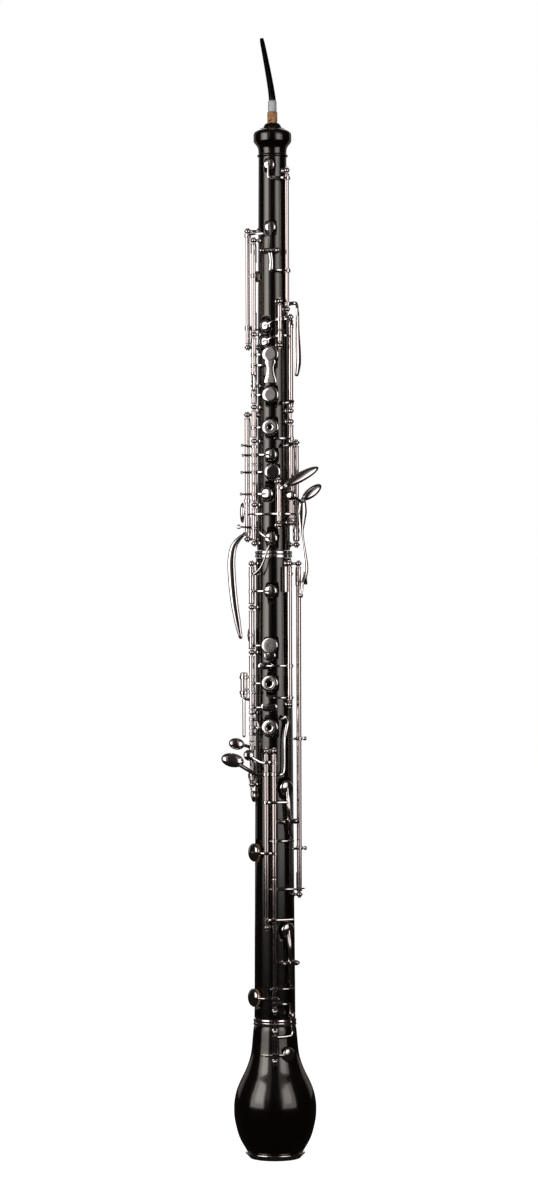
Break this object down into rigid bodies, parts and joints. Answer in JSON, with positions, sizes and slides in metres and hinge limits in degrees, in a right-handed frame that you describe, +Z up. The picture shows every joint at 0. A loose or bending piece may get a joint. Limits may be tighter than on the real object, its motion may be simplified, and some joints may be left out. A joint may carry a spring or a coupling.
{
  "type": "english horn",
  "caption": "Wooden double-reed woodwind with a pear-shaped bell, silver keywork on hinge rods, a curved dark metal bocal and a thumb rest.",
  "frame": {"origin": "centre of the bell's rim, in the plane of its lower face", "axes": "+Z up along the bore to the bocal, -Y is the front with the plates, +X is the picture's right"},
  "size_m": [0.0789, 0.0643, 0.8766],
  "materials": {
    "blackwood": "oiled blackwood with a satin gloss",
    "key_silver": "polished silver plate",
    "rod_steel": "ground steel and turned posts",
    "cork": "sanded cork with dark flecks",
    "black_metal": "black plating with a soft sheen"
  },
  "bodies": {
    "horn_body": {"bell": "blackwood", "bell_rim_ring": "key_silver", "bell_socket_ring": "key_silver", "bell_key_rod": "rod_steel", "lower_joint": "blackwood", "lower_socket_ring": "key_silver", "lower_tenon_cork": "cork", "right_stack_rod": "rod_steel", "right_vent_rod": "rod_steel", "long_rod": "rod_steel", "low_c_rod": "rod_steel", "low_b_rod": "rod_steel", "c_sharp_rocker_rod": "rod_steel", "low_rocker_rod": "rod_steel", "thumb_rest": "key_silver", "upper_joint": "blackwood", "upper_tenon_cork": "cork", "octave_rod": "rod_steel", "thumb_lever_rod": "rod_steel", "trill_rod": "rod_steel", "left_stack_rod": "rod_steel", "right_trill_rod": "rod_steel", "low_b_lever_rod": "rod_steel", "left_little_finger_rod": "rod_steel", "side_lever_rod": "rod_steel", "octave_rocker_rod": "rod_steel", "bocal_tube": "black_metal", "bocal_ferrule": "key_silver", "bocal_cork": "cork"},
    "first_octave_key": {"first_octave_key": "key_silver"},
    "second_octave_key": {"second_octave_key": "key_silver"},
    "thumb_octave_lever": {"thumb_octave_lever": "key_silver"},
    "upper_vent_key": {"upper_vent_key": "key_silver"},
    "upper_trill_key": {"upper_trill_key": "key_silver"},
    "lower_trill_key": {"lower_trill_key": "key_silver"},
    "upper_trill_lever": {"upper_trill_lever": "key_silver"},
    "lower_trill_lever": {"lower_trill_lever": "key_silver"},
    "half_hole_key": {"half_hole_key": "key_silver"},
    "left_second_key": {"left_second_key": "key_silver"},
    "left_third_key": {"left_third_key": "key_silver"},
    "b_flat_vent_key": {"b_flat_vent_key": "key_silver"},
    "g_key": {"g_key": "key_silver"},
    "g_sharp_key": {"g_sharp_key": "key_silver"},
    "bridge_vent_key": {"bridge_vent_key": "key_silver"},
    "left_little_finger_lever": {"left_little_finger_lever": "key_silver"},
    "low_b_lever": {"low_b_lever": "key_silver"},
    "right_side_key": {"right_side_key": "key_silver"},
    "bridge_key": {"bridge_key": "key_silver"},
    "right_first_key": {"right_first_key": "key_silver"},
    "right_second_key": {"right_second_key": "key_silver"},
    "right_third_key": {"right_third_key": "key_silver"},
    "right_little_finger_key": {"right_little_finger_key": "key_silver"},
    "right_vent_key": {"right_vent_key": "key_silver"},
    "long_lever": {"long_lever": "key_silver"},
    "low_c_key": {"low_c_key": "key_silver"},
    "c_sharp_key": {"c_sharp_key": "key_silver"},
    "low_b_key": {"low_b_key": "key_silver"},
    "bell_key": {"bell_key": "key_silver"},
    "c_sharp_rocker": {"c_sharp_rocker": "key_silver"},
    "low_rocker": {"low_rocker": "key_silver"}
  },
  "joints": [
    {"name": "first_octave_key_hinge", "type": "hinge", "parent": "horn_body", "child": "first_octave_key", "pos_m": [-0.00236, -0.0149, 0.70613], "axis": [0.9877, -0.1564, 0], "range_deg": [0, 5], "stiffness_Nm_per_rad": 0.02},
    {"name": "second_octave_key_hinge", "type": "hinge", "parent": "horn_body", "child": "second_octave_key", "pos_m": [0.01106, -0.01068, 0.66085], "axis": [0, 0, 1], "range_deg": [0, 6], "stiffness_Nm_per_rad": 0.02},
    {"name": "thumb_octave_lever_hinge", "type": "hinge", "parent": "horn_body", "child": "thumb_octave_lever", "pos_m": [-0.01959, -0.00171, 0.63187], "axis": [0, 0, 1], "range_deg": [-5, 0], "stiffness_Nm_per_rad": 0.02},
    {"name": "upper_vent_key_hinge", "type": "hinge", "parent": "horn_body", "child": "upper_vent_key", "pos_m": [-0.01489, -0.00726, 0.64153], "axis": [0, 0, 1], "range_deg": [0, 5], "stiffness_Nm_per_rad": 0.02},
    {"name": "upper_trill_key_hinge", "type": "hinge", "parent": "horn_body", "child": "upper_trill_key", "pos_m": [0.00532, -0.01462, 0.6442], "axis": [0, 0, 1], "range_deg": [0, 5], "stiffness_Nm_per_rad": 0.02},
    {"name": "lower_trill_key_hinge", "type": "hinge", "parent": "horn_body", "child": "lower_trill_key", "pos_m": [0.00532, -0.01462, 0.63254], "axis": [0, 0, 1], "range_deg": [0, 5], "stiffness_Nm_per_rad": 0.02},
    {"name": "upper_trill_lever_hinge", "type": "hinge", "parent": "horn_body", "child": "upper_trill_lever", "pos_m": [0.01365, -0.0092, 0.58193], "axis": [0, 0, 1], "range_deg": [-5, 0], "stiffness_Nm_per_rad": 0.02},
    {"name": "lower_trill_lever_hinge", "type": "hinge", "parent": "horn_body", "child": "lower_trill_lever", "pos_m": [0.01365, -0.0092, 0.49501], "axis": [0, 0, 1], "range_deg": [-3, 0], "stiffness_Nm_per_rad": 0.02},
    {"name": "half_hole_key_hinge", "type": "hinge", "parent": "horn_body", "child": "half_hole_key", "pos_m": [-0.01489, -0.00726, 0.60157], "axis": [0, 0, 1], "range_deg": [0, 6], "stiffness_Nm_per_rad": 0.02},
    {"name": "left_second_key_hinge", "type": "hinge", "parent": "horn_body", "child": "left_second_key", "pos_m": [-0.01489, -0.00726, 0.58492], "axis": [0, 0, 1], "range_deg": [0, 6], "stiffness_Nm_per_rad": 0.02},
    {"name": "left_third_key_hinge", "type": "hinge", "parent": "horn_body", "child": "left_third_key", "pos_m": [-0.01489, -0.00726, 0.55861], "axis": [0, 0, 1], "range_deg": [0, 6], "stiffness_Nm_per_rad": 0.02},
    {"name": "b_flat_vent_key_hinge", "type": "hinge", "parent": "horn_body", "child": "b_flat_vent_key", "pos_m": [-0.01489, -0.00726, 0.5403], "axis": [0, 0, 1], "range_deg": [0, 6], "stiffness_Nm_per_rad": 0.02},
    {"name": "g_key_hinge", "type": "hinge", "parent": "horn_body", "child": "g_key", "pos_m": [-0.01489, -0.00726, 0.52531], "axis": [0, 0, 1], "range_deg": [0, 6], "stiffness_Nm_per_rad": 0.02},
    {"name": "g_sharp_key_hinge", "type": "hinge", "parent": "horn_body", "child": "g_sharp_key", "pos_m": [-0.01489, -0.00726, 0.509], "axis": [0, 0, 1], "range_deg": [-6, 0], "stiffness_Nm_per_rad": 0.02},
    {"name": "bridge_vent_key_hinge", "type": "hinge", "parent": "horn_body", "child": "bridge_vent_key", "pos_m": [-0.01489, -0.00726, 0.47903], "axis": [0, 0, 1], "range_deg": [0, 6], "stiffness_Nm_per_rad": 0.02},
    {"name": "left_little_finger_lever_hinge", "type": "hinge", "parent": "horn_body", "child": "left_little_finger_lever", "pos_m": [0.00426, -0.01591, 0.49301], "axis": [0, 0, 1], "range_deg": [0, 3.5], "stiffness_Nm_per_rad": 0.02},
    {"name": "low_b_lever_hinge", "type": "hinge", "parent": "horn_body", "child": "low_b_lever", "pos_m": [0.0179, -0.00157, 0.47803], "axis": [0, 0, 1], "range_deg": [0, 4], "stiffness_Nm_per_rad": 0.02},
    {"name": "right_side_key_hinge", "type": "hinge", "parent": "horn_body", "child": "right_side_key", "pos_m": [-0.02033, -0.00359, 0.48236], "axis": [0, 0, 1], "range_deg": [-5, 0], "stiffness_Nm_per_rad": 0.02},
    {"name": "bridge_key_hinge", "type": "hinge", "parent": "horn_body", "child": "bridge_key", "pos_m": [-0.01715, -0.00728, 0.42929], "axis": [0, 0, 1], "range_deg": [0, 6], "stiffness_Nm_per_rad": 0.02},
    {"name": "right_first_key_hinge", "type": "hinge", "parent": "horn_body", "child": "right_first_key", "pos_m": [-0.01715, -0.00728, 0.39421], "axis": [0, 0, 1], "range_deg": [0, 6], "stiffness_Nm_per_rad": 0.02},
    {"name": "right_second_key_hinge", "type": "hinge", "parent": "horn_body", "child": "right_second_key", "pos_m": [-0.01715, -0.00728, 0.34731], "axis": [0, 0, 1], "range_deg": [0, 6], "stiffness_Nm_per_rad": 0.02},
    {"name": "right_third_key_hinge", "type": "hinge", "parent": "horn_body", "child": "right_third_key", "pos_m": [-0.01715, -0.00728, 0.3244], "axis": [0, 0, 1], "range_deg": [0, 6], "stiffness_Nm_per_rad": 0.02},
    {"name": "right_little_finger_key_hinge", "type": "hinge", "parent": "horn_body", "child": "right_little_finger_key", "pos_m": [-0.01715, -0.00728, 0.29146], "axis": [0, 0, 1], "range_deg": [-5, 0], "stiffness_Nm_per_rad": 0.02},
    {"name": "right_vent_key_hinge", "type": "hinge", "parent": "horn_body", "child": "right_vent_key", "pos_m": [0.01222, -0.01358, 0.35376], "axis": [0, 0, 1], "range_deg": [0, 4], "stiffness_Nm_per_rad": 0.02},
    {"name": "long_lever_hinge", "type": "hinge", "parent": "horn_body", "child": "long_lever", "pos_m": [0.0193, -0.00702, 0.2059], "axis": [0, 0, 1], "range_deg": [0, 4], "stiffness_Nm_per_rad": 0.02},
    {"name": "low_c_key_hinge", "type": "hinge", "parent": "horn_body", "child": "low_c_key", "pos_m": [-0.00628, -0.01823, 0.1812], "axis": [0, 0, 1], "range_deg": [-4, 0], "stiffness_Nm_per_rad": 0.02},
    {"name": "c_sharp_key_hinge", "type": "hinge", "parent": "horn_body", "child": "c_sharp_key", "pos_m": [0, -0.01966, 0.21951], "axis": [0, 0, 1], "range_deg": [-5, 0], "stiffness_Nm_per_rad": 0.02},
    {"name": "low_b_key_hinge", "type": "hinge", "parent": "horn_body", "child": "low_b_key", "pos_m": [0, -0.01966, 0.11604], "axis": [0, 0, 1], "range_deg": [-5, 0], "stiffness_Nm_per_rad": 0.02},
    {"name": "bell_key_hinge", "type": "hinge", "parent": "horn_body", "child": "bell_key", "pos_m": [0, -0.02341, 0.07794], "axis": [0, 0, 1], "range_deg": [-5, 0], "stiffness_Nm_per_rad": 0.02},
    {"name": "c_sharp_rocker_hinge", "type": "hinge", "parent": "horn_body", "child": "c_sharp_rocker", "pos_m": [0.01157, -0.01481, 0.26318], "axis": [0.788, 0.6157, 0], "range_deg": [-4, 0], "stiffness_Nm_per_rad": 0.02},
    {"name": "low_rocker_hinge", "type": "hinge", "parent": "horn_body", "child": "low_rocker", "pos_m": [0.01197, -0.01532, 0.15328], "axis": [0.788, 0.6157, 0], "range_deg": [-4, 0], "stiffness_Nm_per_rad": 0.02}
  ],
  "couplings": [
    {"joint": "first_octave_key_hinge", "follows": "thumb_octave_lever_hinge", "ratio": -1},
    {"joint": "upper_trill_key_hinge", "follows": "upper_trill_lever_hinge", "ratio": -1},
    {"joint": "upper_vent_key_hinge", "follows": "lower_trill_key_hinge", "ratio": 1},
    {"joint": "bridge_vent_key_hinge", "follows": "bridge_key_hinge", "ratio": 1},
    {"joint": "c_sharp_rocker_hinge", "follows": "c_sharp_key_hinge", "ratio": 0.8},
    {"joint": "low_rocker_hinge", "follows": "low_b_key_hinge", "ratio": 0.8},
    {"joint": "bell_key_hinge", "follows": "low_b_key_hinge", "ratio": 1},
    {"joint": "long_lever_hinge", "follows": "low_b_key_hinge", "ratio": -0.8},
    {"joint": "low_b_lever_hinge", "follows": "low_b_key_hinge", "ratio": -0.8}
  ]
}
